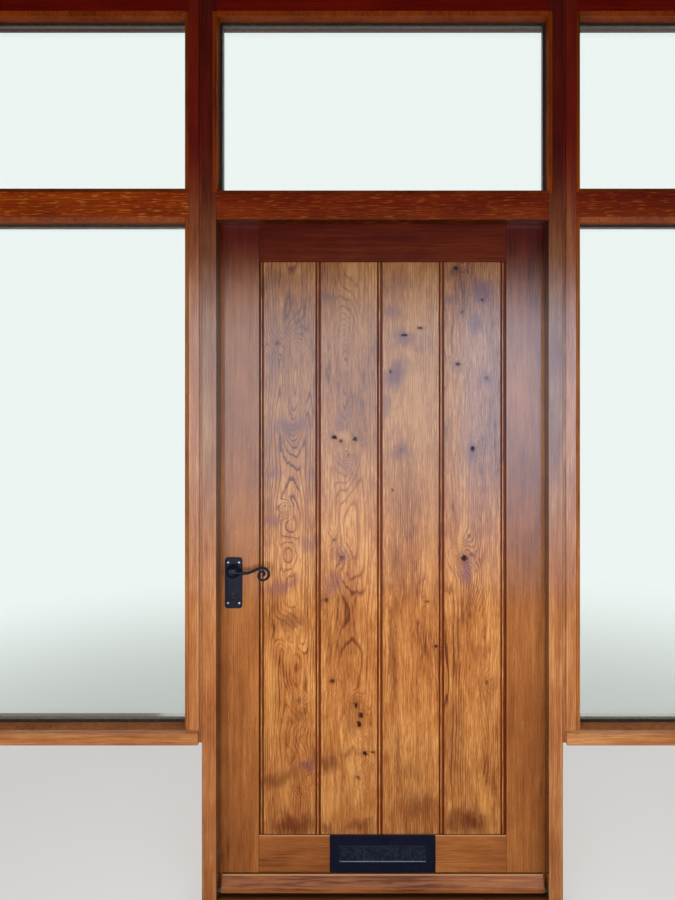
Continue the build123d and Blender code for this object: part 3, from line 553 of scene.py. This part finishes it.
marks2 = (
    ("eye", -0.110, 1.545, 0.063, 0.384, 0, 7.5), ("eye", -0.113, 1.635, 0.027, 0.180, 0, 2),
    ("eye", -0.110, 0.891, 0.090, 0.180, 0, 1.6), ("knot", -0.146, 1.410, 0.012, 0.008, 0, 0.95),
    ("knot", -0.125, 1.398, 0.009, 0.009, 0, 0.7), ("knot", -0.083, 1.404, 0.009, 0.009, 0, 0.9),
    ("knot", -0.104, 1.356, 0.005, 0.008, 0, 0.55), ("knot", -0.122, 1.047, 0.009, 0.012, 0, 0.55),
    ("knot", -0.146, 1.101, 0.007, 0.009, 0, 0.5), ("knot", -0.170, 0.921, 0.009, 0.009, 0, 0.8),
    ("knot", -0.152, 0.677, 0.009, 0.009, 0, 0.75), ("knot", -0.080, 0.605, 0.008, 0.012, 0, 0.95),
    ("knot", -0.065, 0.575, 0.009, 0.012, 0, 0.95), ("knot", -0.071, 0.548, 0.008, 0.012, 0, 0.95),
    ("knot", -0.053, 0.461, 0.009, 0.009, 0, 0.9), ("knot", -0.029, 0.464, 0.009, 0.006, 0, 0.6),
    ("knot", -0.074, 0.389, 0.006, 0.009, 0, 0.6), ("mauve", -0.167, 1.833, 0.033, 0.027, 0, 0.55),
    ("mauve", -0.119, 1.461, 0.027, 0.054, 0, 0.5), ("mauve", -0.116, 1.320, 0.039, 0.045, 0, 0.4),
    ("mauve", -0.149, 0.966, 0.036, 0.042, 0.1, 0.5), ("brown", -0.164, 0.434, 0.048, 0.033, 0, 0.7),
    ("mauve", -0.125, 1.062, 0.042, 0.036, 0, 0.35), ("brown", -0.092, 0.584, 0.030, 0.066, 0, 0.35),
    ("brown", -0.170, 0.233, 0.024, 0.027, 0, 0.6), ("brown", -0.068, 0.242, 0.060, 0.021, 0, 0.6),
    ("pale", -0.122, 0.521, 0.008, 0.039, 0, 0.9), ("pale", -0.119, 1.410, 0.033, 0.021, 0, 0.6),
    ("brown", -0.098, 0.464, 0.078, 0.015, 0, 0.4), ("pale", -0.158, 0.320, 0.027, 0.072, 0, 0.35),
    ("brown", -0.113, 0.801, 0.042, 0.180, 0, 0.25),
)
marks3 = (
    ("eye", 0.034, 0.755, 0.030, 0.180, 0, 2.2), ("eye", 0.136, 1.041, 0.027, 0.360, 0, 1.4),
    ("eye", 0.049, 1.401, 0.027, 0.180, 0, 1.6), ("knot", 0.064, 1.716, 0.014, 0.005, 0.1, 1),
    ("knot", 0.112, 1.737, 0.010, 0.005, 0, 0.95), ("knot", 0.025, 1.605, 0.007, 0.007, 0, 0.8),
    ("knot", 0.031, 1.251, 0.005, 0.006, 0, 0.6), ("knot", 0.136, 0.915, 0.005, 0.006, 0, 0.55),
    ("knot", 0.160, 0.782, 0.007, 0.006, 0, 0.8), ("knot", 0.106, 0.852, 0.007, 0.009, 0, 0.3),
    ("knot", 0.058, 1.371, 0.009, 0.009, 0, 0.3), ("mauve", 0.037, 1.593, 0.036, 0.066, -0.55, 0.95),
    ("mauve", 0.064, 1.707, 0.042, 0.027, -0.2, 0.7), ("mauve", 0.025, 1.779, 0.033, 0.030, -0.3, 0.55),
    ("mauve", 0.010, 1.506, 0.021, 0.048, 0, 0.6), ("mauve", 0.058, 1.365, 0.039, 0.027, 0, 0.6),
    ("mauve", 0.124, 1.686, 0.054, 0.042, 0, 0.35), ("brown", 0.031, 0.740, 0.015, 0.180, 0.02, 0.5),
    ("brown", 0.043, 0.449, 0.012, 0.102, 0, 0.5), ("brown", 0.112, 0.296, 0.066, 0.054, 0, 0.55),
    ("brown", 0.028, 1.035, 0.018, 0.102, 0, 0.35), ("brown", 0.091, 0.410, 0.042, 0.042, 0, 0.35),
    ("pale", 0.076, 1.635, 0.018, 0.066, -0.3, 0.45), ("pale", 0.142, 1.101, 0.024, 0.270, 0, 0.25),
    ("mauve", 0.052, 1.875, 0.060, 0.042, 0, 0.3),
)
marks4 = (
    ("eye", 0.280, 0.837, 0.048, 0.156, 0, 3.4), ("eye", 0.292, 0.650, 0.039, 0.180, 0, 2.4),
    ("eye", 0.226, 1.623, 0.024, 0.054, 0, 1.8), ("eye", 0.271, 1.371, 0.027, 0.078, 0, 1.6),
    ("eye", 0.244, 1.077, 0.033, 0.078, 0, 2.2), ("eye", 0.292, 0.320, 0.042, 0.180, 0, 2.2),
    ("eye", 0.238, 1.785, 0.021, 0.042, 0, 1.2), ("knot", 0.220, 1.917, 0.009, 0.008, 0, 0.95),
    ("knot", 0.298, 1.821, 0.008, 0.006, 0, 0.85), ("knot", 0.238, 1.785, 0.006, 0.006, 0, 0.8),
    ("knot", 0.226, 1.629, 0.009, 0.007, 0, 0.8), ("knot", 0.271, 1.374, 0.009, 0.010, 0, 1),
    ("knot", 0.244, 1.047, 0.013, 0.013, 0, 0.95), ("knot", 0.313, 0.674, 0.008, 0.009, 0, 0.5),
    ("knot", 0.313, 1.587, 0.007, 0.009, 0, 0.5), ("mauve", 0.298, 1.845, 0.042, 0.045, 0.3, 0.75),
    ("mauve", 0.277, 1.749, 0.027, 0.030, 0, 0.6), ("mauve", 0.196, 1.818, 0.021, 0.024, 0, 0.55),
    ("mauve", 0.229, 1.623, 0.027, 0.021, 0, 0.45), ("mauve", 0.313, 1.581, 0.036, 0.036, 0.2, 0.5),
    ("mauve", 0.271, 1.365, 0.021, 0.036, 0, 0.65), ("mauve", 0.250, 1.005, 0.027, 0.039, 0, 0.7),
    ("brown", 0.220, 1.917, 0.030, 0.024, 0, 0.5), ("brown", 0.253, 0.254, 0.081, 0.048, 0, 0.85),
    ("brown", 0.211, 0.500, 0.042, 0.150, 0, 0.4), ("brown", 0.316, 0.650, 0.030, 0.078, 0, 0.3),
    ("pale", 0.310, 0.302, 0.021, 0.108, 0.12, 0.6), ("pale", 0.238, 1.116, 0.012, 0.090, -0.1, 0.4),
    ("brown", 0.298, 0.770, 0.042, 0.030, 0, 0.3),
)

# what all four boards have
plainBoard = {
    "grain": "z", "stain": boardStain, "spacing": 0.0044, "wander": 0.03, "uneven": 0.8,
    "tone": 0.57, "fibre": 1.2, "fibrePace": 28.0, "streak": 0.65, "streakPace": 5.0,
    "groove": (0.0558, 0.0582),    # depth at which a quirk starts, and its bottom
    "tongue": 0.008,               # width of the tongue, past the joint that shows inside
    "seams": False, "coat": 1.0,
    # painted shade high up and from the middle up, and darker towards the foot
    "highShade": (1.86, 2.1, 0.5), "midShade": 0.3, "foot": (0.7, 0.3, 0.2),
}
oakLooks["board1"] = {**plainBoard, "nodes": ("board_1",), "seed": 0.4, "pith": (0.0, 0.03),
                      "marks": marks1, "arch": 0.05, "rings": 0.85}
oakLooks["board2"] = {**plainBoard, "nodes": ("board_2",), "seed": 11.8, "pith": (-0.01, 0.06),
                      "marks": marks2, "arch": 0.03, "rings": 0.52}
oakLooks["board3"] = {**plainBoard, "nodes": ("board_3",), "seed": 21.3, "pith": (0.13, 0.05),
                      "marks": marks3, "arch": 0.03, "rings": 0.62}
oakLooks["board4"] = {**plainBoard, "nodes": ("board_4",), "seed": 32.9, "pith": (-0.1, 0.05),
                      "marks": marks4, "arch": 0.05, "rings": 0.62}

for look in oakLooks.values():
    for count, node in enumerate(look["nodes"]):
        dress((node,), oak(node, look, count))
print("oak finished")


# glass, metal and rubber

flapLow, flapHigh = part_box("letter_flap")
plainMetal = {"metal": 1.0, "specular": 0.5, "grain": 60.0, "relief": 0.0001, "glints": ()}

# grain is cells to a metre, relief the height of its bumps in metres; glints are level lines where a
# long edge catches the light: height, half length, half width, tint
metalLooks = {
    "blackIron": {
        "nodes": ("outer_backplate", "inner_backplate", "outer_lever", "inner_lever",
                  "inner_letter_plate", "inner_letter_flap"),
        "colour": (6, 10, 28), "worn": (14, 21, 46), "rough": 0.36, "metal": 0.0,
        "specular": 0.22, "grain": 160.0, "relief": 0.001},
    "letterIron": {
        "nodes": ("letter_plate",), "colour": (13, 15, 33), "worn": (17, 21, 44), "rough": 0.42,
        "metal": 0.0, "specular": 0.16, "grain": 90.0, "relief": 0.0005,
        "glints": ((flapLow[2], flapHigh[0] + 0.002, 0.0028, (120, 128, 150)),
                   (flapHigh[2], flapHigh[0] + 0.002, 0.002, (42, 48, 66)))},
    "flapIron": {
        "nodes": ("letter_flap",), "colour": (10, 14, 27), "worn": (38, 46, 66), "rough": 0.34,
        "metal": 0.0, "specular": 0.3, "grain": 120.0, "relief": 0.001,
        "glints": ((flapLow[2], flapHigh[0], 0.002, (120, 128, 150)),)},
    "bareSteel": {
        "nodes": ("hinge_frame_leaves", "hinge_door_leaves", "hinge_pins", "strike_plate",
                  "lock_faceplate", "latch_bolt", "deadbolt", "flap_pin"),
        "colour": (150, 148, 146), "rough": 0.34},
    "screwSteel": {"nodes": (), "colour": (176, 172, 190), "rough": 0.3, "grain": 200.0},
    "lockSteel": {
        "nodes": ("lock_case", "lock_follower", "spindle"), "colour": (128, 124, 112), "rough": 0.42},
    "spacerBronze": {
        "nodes": ("glass_spacers",), "colour": (78, 66, 54), "rough": 0.5, "metal": 0.4},
    "millAluminium": {"nodes": ("water_bar",), "colour": (176, 176, 176), "rough": 0.36},
    "blackRubber": {
        "nodes": ("frame_seal", "glazing_seals"), "colour": (22, 22, 23), "rough": 0.7,
        "metal": 0.0, "specular": 0.4, "grain": 300.0, "relief": 0.0002},
}


def metalFinish(name, look):
    # a mottled surface, worn paler in patches
    look = {**plainMetal, **look}
    finish, tree, shader, x, y, z = newFinish(name)
    place = combine(tree, x, y, z)
    mottle = noise(place, look["grain"], 4.0, 0.6)
    fine = noise(place, look["grain"] * 7, 3.0, 0.6)
    worn = look.get("worn", tuple(min(255, c * 1.25 + 6) for c in look["colour"]))
    shade = blend(tree, ramp(mottle, 0.35, 0.7), linear(*look["colour"]), linear(*worn))
    for level, reach, width, tint in look["glints"]:
        band = ramp(calc(tree, "ABSOLUTE", z - level), width * 0.4, width, 1.0, 0.0)
        band = band * ramp(calc(tree, "ABSOLUTE", x), reach - 0.002, reach, 1.0, 0.0) * (fine + 0.4)
        shade = blend(tree, band, shade, linear(*tint))
    plug(tree, shader.inputs["Base Color"], shade)
    shader.inputs["Metallic"].default_value = look["metal"]
    shader.inputs["Specular IOR Level"].default_value = look["specular"]
    plug(tree, shader.inputs["Roughness"], (fine - 0.5) * 0.2 + (mottle - 0.5) * 0.2 + look["rough"])
    plug(tree, shader.inputs["Normal"], bump(tree, mottle + fine * 0.3, look["relief"], 0.6))
    return finish


metals = {name: metalFinish(name, look) for name, look in metalLooks.items()}
for name, look in metalLooks.items():
    dress(look["nodes"], metals[name])

glassLook = {
    "tint": (0.93, 0.97, 0.955, 1), "shadowTint": (0.95, 0.98, 0.97, 1), "rough": 0.0, "index": 1.45,
    "ripple": (3.0, 0.0004, 0.3),    # cells to a metre, height in metres, strength
}
finish, tree, shader, x, y, z = newFinish("clearGlass")
shader.inputs["Base Color"].default_value = glassLook["tint"]
shader.inputs["Roughness"].default_value = glassLook["rough"]
shader.inputs["IOR"].default_value = glassLook["index"]
shader.inputs["Transmission Weight"].default_value = 1.0
cells, height, strength = glassLook["ripple"]
ripple = noise(combine(tree, x, y, z), cells, 1.0)
plug(tree, shader.inputs["Normal"], bump(tree, ripple, height, strength))
clear = tree.nodes.new("ShaderNodeBsdfTransparent")    # panes cast only a faint shadow
clear.inputs["Color"].default_value = glassLook["shadowTint"]
mixer = tree.nodes.new("ShaderNodeMixShader")
paths = tree.nodes.new("ShaderNodeLightPath")
tree.links.new(paths.outputs["Is Shadow Ray"], mixer.inputs[0])
tree.links.new(shader.outputs[0], mixer.inputs[1])
tree.links.new(clear.outputs[0], mixer.inputs[2])
tree.links.new(mixer.outputs[0], tree.nodes["Material Output"].inputs[0])
dress(glassNodes, finish)
print("glass and metal finished")


# forged levers

def addPiece(name, corners, faces, body, finish, smooth=True):
    # a mesh that moves with the given body of the part
    mesh = bpy.data.meshes.new(name)
    mesh.from_pydata(corners, [], faces)
    shell = bmesh.new()
    shell.from_mesh(mesh)
    bmesh.ops.recalc_face_normals(shell, faces=shell.faces)    # every face looks outwards
    shell.to_mesh(mesh)
    shell.free()
    mesh.polygons.foreach_set("use_smooth", [smooth] * len(mesh.polygons))
    mesh.materials.append(finish)
    piece = bpy.data.objects.new(name, mesh)
    bpy.context.scene.collection.objects.link(piece)
    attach(piece, body)
    return piece


def ringFaces(index):
    # four-sided faces between one row of rings and the next, each ring closed on itself
    after = np.roll(index, -1, axis=1)
    return np.stack([index[:-1], index[1:], after[1:], after[:-1]], axis=-1).reshape(-1, 4).tolist()


def cappedRings(name, points, body, finish):
    # rows of points joined up, with a flat face over the first and the last
    index = np.arange(points.shape[0] * points.shape[1]).reshape(points.shape[:2])
    faces = ringFaces(index) + [index[0].tolist(), index[-1][::-1].tolist()]
    return addPiece(name, points.reshape(-1, 3).tolist(), faces, body, finish)


leverLook = {
    "spindle": (-0.446, 1.010),            # across and up
    "plateFace": 0.052, "depth": 0.024,    # depth of the outer plate's face, and of the arm's middle
    "neckStart": 0.003, "neck": 0.0398, "neckSteps": 16,    # start and end of the neck, from the spindle
    "drop": 0.0011, "cant": 0.0075,        # the neck lies lower than the spindle, and slants outwards
    "neckRadius": 0.0098, "armRadius": 0.0042, "tailRadius": 0.0026,
    "tailStart": 0.05, "tipShare": 0.75,   # where the arm starts to taper, and how small the tip is
    "sides": 20, "hammer": (0.02, 900, 6),    # marks: share of the radius, pace along and round the rod
    # from the neck to the curled tail: radius and turn in degrees, or no radius and a length; then steps
    "run": ((0.030, 22, 6), (None, 0.0298, 6), (0.035, -22, 6),
            (0.0181, -180, 26), (0.0130, -180, 22), (0.0064, -180, 14)),
}


def arcFrom(start, heading, radius, turn, count):
    # circle arc from a point: the centre lies square to the heading, and the heading turns evenly
    side = np.sign(turn)
    angle = heading + np.linspace(0, turn, count + 1)[1:]
    centre = start + radius * side * np.array([-np.sin(heading), np.cos(heading)])
    points = centre - radius * side * np.stack([-np.sin(angle), np.cos(angle)], axis=1)
    return points, heading + turn


def leverPath(look):
    # straight neck, then arcs and a straight that follow on from each other, seen from the front
    neckX = np.linspace(look["neckStart"], look["neck"], look["neckSteps"])
    neck = np.stack([neckX, np.full(len(neckX), -look["drop"])], axis=1)
    run, heading = [neck], 0.0
    for radius, turn, count in look["run"]:
        start = run[-1][-1]
        if radius is None:
            step = np.linspace(0, turn, count + 1)[1:, None]
            run.append(start + step * np.array([np.cos(heading), np.sin(heading)]))
        else:
            points, heading = arcFrom(start, heading, radius, math.radians(turn), count)
            run.append(points)
    return np.concatenate(run)


def makeLever(name, look, face, outward):
    # rod of round section along the path; its radius falls from neck to arm to tail
    flat = leverPath(look)
    steps = np.linalg.norm(np.diff(flat, axis=0), axis=1)
    travel = np.concatenate([[0], np.cumsum(steps)])
    neckEnd = look["neck"] - look["neckStart"]
    tailStart = neckEnd + look["tailStart"]
    blendIn = np.clip(travel / neckEnd, 0, 1)
    radius = look["armRadius"] + (look["neckRadius"] - look["armRadius"]) * (1 - blendIn) ** 1.6
    tail = np.clip((travel - tailStart) / (travel[-1] - tailStart), 0, 1)
    radius = radius - (look["armRadius"] - look["tailRadius"]) * tail
    radius[-1] *= look["tipShare"]
    depth = look["depth"] + look["cant"] * (1 - blendIn) ** 1.4
    depth = face + outward * (look["plateFace"] - depth)
    spine = np.stack([flat[:, 0] + look["spindle"][0], depth, flat[:, 1] + look["spindle"][1]], axis=1)
    along = np.gradient(spine, axis=0)
    along /= np.linalg.norm(along, axis=1, keepdims=True)
    out = np.array([0.0, 1.0, 0.0]) - along * along[:, 1:2]
    out /= np.linalg.norm(out, axis=1, keepdims=True)
    side = np.cross(along, out)
    angle = np.linspace(0, 2 * math.pi, look["sides"], endpoint=False)
    share, pace, twist = look["hammer"]
    hammer = 1 + share * np.sin(travel[:, None] * pace + twist * np.cos(angle)[None, :])
    ringOut = (np.cos(angle)[None, :] * hammer * radius[:, None])[..., None] * out[:, None, :]
    ringSide = (np.sin(angle)[None, :] * hammer * radius[:, None])[..., None] * side[:, None, :]
    points = spine[:, None, :] + ringOut + ringSide
    return cappedRings(name, points, "handle", metals["blackIron"])


bossLook = {
    "sides": 48,
    "foot": 0.0043,    # stands off the plate by this much
    # radius and height along the spindle, from the crown to the foot
    "profile": ((0.0002, 0.0277), (0.004, 0.0276), (0.009, 0.0268), (0.0125, 0.0252), (0.0155, 0.0226),
                (0.0178, 0.0192), (0.0192, 0.0160), (0.0199, 0.0128), (0.0200, 0.0095), (0.0198, 0.004),
                (0.0192, 0.0006), (0.0185, 0.0), (0.0085, 0.0), (0.0085, -0.004)),
}


def makeBoss(name, look, face, outward):
    # turned shape: the profile carried round the spindle
    profile = np.array(look["profile"])
    angle = np.linspace(0, 2 * math.pi, look["sides"], endpoint=False)
    spindleX, spindleZ = leverLook["spindle"]
    across = profile[:, :1] * np.cos(angle)[None, :] + spindleX
    up = profile[:, :1] * np.sin(angle)[None, :] + spindleZ
    depth = np.repeat(face + outward * (look["foot"] + profile[:, 1:]), len(angle), axis=1)
    points = np.stack([across, depth, up], axis=-1)
    return cappedRings(name, points, "handle", metals["blackIron"])


for side, node, face, outward in (("outer", "outer_lever", 0.052, -1), ("inner", "inner_lever", 0.102, 1)):
    rod = makeLever(side + "LeverRod", leverLook, face, outward)
    boss = makeBoss(side + "LeverBoss", bossLook, face, outward)
    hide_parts(node)
    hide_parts(node)
print("levers made")


# screws

screwLook = {
    "rings": 9, "sides": 24, "skirt": 0.0004,
    "slot": (0.16, 0.45),    # half its width and its depth, as shares of radius and rise
    # radius and rise of each kind of head
    "plate": (0.0038, 0.0018), "hinge": (0.0037, 0.0006), "edge": (0.004, 0.0005),
    "letter": (0.0038, 0.0016), "pinTip": (0.0052, 0.0055),
}


def screwHeads(name, body, places, outward, kind, finish):
    # domed disc with a straight slot; outward is the direction that the head faces
    radius, rise = screwLook[kind]
    slotWidth, slotDepth = screwLook["slot"]
    share = np.linspace(0, 1, screwLook["rings"])
    angle = np.linspace(0, 2 * math.pi, screwLook["sides"], endpoint=False)
    outward = np.array(outward, float)
    upward = np.array([0.0, 0.0, 1.0])
    third = np.cross(outward, upward)
    corners, faces = [], []
    for count, place in enumerate(places):
        turn = angle + 0.7 * count    # no two slots stand alike
        s = share[:, None] * np.cos(turn)[None, :]
        t = share[:, None] * np.sin(turn)[None, :]
        dome = rise * np.sqrt(np.clip(1 - 0.9 * (s * s + t * t), 0, 1))
        cut = np.abs(np.cos(angle))[None, :] * share[:, None] < slotWidth
        dome = np.where(cut, dome - rise * slotDepth, dome)
        points = (np.array(place) + s[..., None] * radius * third + t[..., None] * radius * upward
                  + dome[..., None] * outward)
        skirt = points[-1:] - (dome[-1:, :, None] + screwLook["skirt"]) * outward
        points = np.concatenate([points, skirt])
        index = np.arange(points.shape[0] * len(angle)).reshape(-1, len(angle)) + len(corners)
        faces += ringFaces(index) + [index[-1].tolist()]
        corners += points.reshape(-1, 3).tolist()
    return addPiece(name, corners, faces, body, finish, False)


def pinTips(name, body, places, upward, finish):
    # half an ellipsoid on a short neck: rings shrink as the cosine while height grows as the sine
    radius, rise = screwLook["pinTip"]
    share = np.linspace(0, math.pi / 2 - 0.03, screwLook["rings"])
    angle = np.linspace(0, 2 * math.pi, screwLook["sides"], endpoint=False)
    ring = np.concatenate([[radius * 0.8, radius], radius * np.cos(share)])
    height = np.concatenate([[0.0, 0.0], rise * 0.1 + rise * 0.9 * np.sin(share)])
    corners, faces = [], []
    for place in places:
        points = np.stack([place[0] + ring[:, None] * np.cos(angle),
                           place[1] + ring[:, None] * np.sin(angle),
                           place[2] + upward * np.repeat(height[:, None], len(angle), axis=1)], axis=-1)
        index = np.arange(points.shape[0] * len(angle)).reshape(-1, len(angle)) + len(corners)
        faces += ringFaces(index) + [index[0].tolist(), index[-1].tolist()]
        corners += points.reshape(-1, 3).tolist()
    return addPiece(name, corners, faces, body, finish)


plateScrews = {"across": (-0.4628, -0.4292), "up": (1.0348, 0.9132)}
for side, face, outward in (("outer", 0.048, -1), ("inner", 0.106, 1)):
    places = [(atX, face, atZ) for atX in plateScrews["across"] for atZ in plateScrews["up"]]
    screwHeads(side + "PlateScrews", "door_leaf", places, (0, outward, 0), "plate",
               metals["screwSteel"])

# hinge screws stand in two staggered columns on each leaf, and the pins end in turned tips
hingeLook = {
    "length": 0.1, "count": 3, "thickness": 0.003,
    "screws": ((0.014, 0.094), (0.037, 0.08), (0.063, 0.094), (0.086, 0.08)),    # up the leaf, and depth
}
hingeLow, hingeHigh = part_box("hinge_frame_leaves")
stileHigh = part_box("hinge_stile")[1]
hingeStarts = np.linspace(hingeLow[2], hingeHigh[2] - hingeLook["length"], hingeLook["count"])
for name, node, face, outward in (
        ("frameHingeScrews", "hinge_frame_leaves", stileHigh[0] + hingeLook["thickness"], -1),
        ("doorHingeScrews", "hinge_door_leaves", stileHigh[0], 1)):
    places = [(face, depth, start + rise) for start in hingeStarts for rise, depth in hingeLook["screws"]]
    screwHeads(name, body_of(nodes[node])[0], places, (outward, 0, 0), "hinge",
               metals["screwSteel"])

pinLow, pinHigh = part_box("hinge_pins")
pinX, pinY = (pinLow[0] + pinHigh[0]) / 2, (pinLow[1] + pinHigh[1]) / 2
for name, starts, outward in (("pinTopTips", hingeStarts + hingeLook["length"], 1),
                              ("pinFootTips", hingeStarts, -1)):
    places = [(pinX, pinY, start) for start in starts]
    pinTips(name, body_of(nodes["hinge_pins"])[0], places, outward, metals["bareSteel"])

# lock edge: faceplate and strike plate, each with a screw near both ends
edgeScrews = {"faceplateInset": 0.008, "strikeInset": 0.009}
lockLow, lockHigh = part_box("lock_faceplate")
keepLow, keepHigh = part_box("strike_plate")
lockY = (lockLow[1] + lockHigh[1]) / 2
inset = edgeScrews["faceplateInset"]
lockEnds = [(lockLow[0], lockY, level) for level in (lockLow[2] + inset, lockHigh[2] - inset)]
inset = edgeScrews["strikeInset"]
keepEnds = [(keepHigh[0], lockY, level) for level in (keepLow[2] + inset, keepHigh[2] - inset)]
screwHeads("faceplateScrews", "door_leaf", lockEnds, (-1, 0, 0), "edge", metals["screwSteel"])
screwHeads("strikeScrews", body_of(nodes["strike_plate"])[0], keepEnds, (1, 0, 0), "edge",
           metals["screwSteel"])

# inner letter plate, held at both ends
letterScrews = {"inset": 0.008, "plateThickness": 0.003}
innerLow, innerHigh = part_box("inner_letter_plate")
innerFace = stileHigh[1] + letterScrews["plateThickness"]
innerLevel = (innerLow[2] + innerHigh[2]) / 2
reach = innerHigh[0] - letterScrews["inset"]
innerPlaces = [(side * reach, innerFace, innerLevel) for side in (-1, 1)]
screwHeads("innerLetterScrews", "door_leaf", innerPlaces, (0, 1, 0), "letter",
           metals["screwSteel"])
print("screws made")
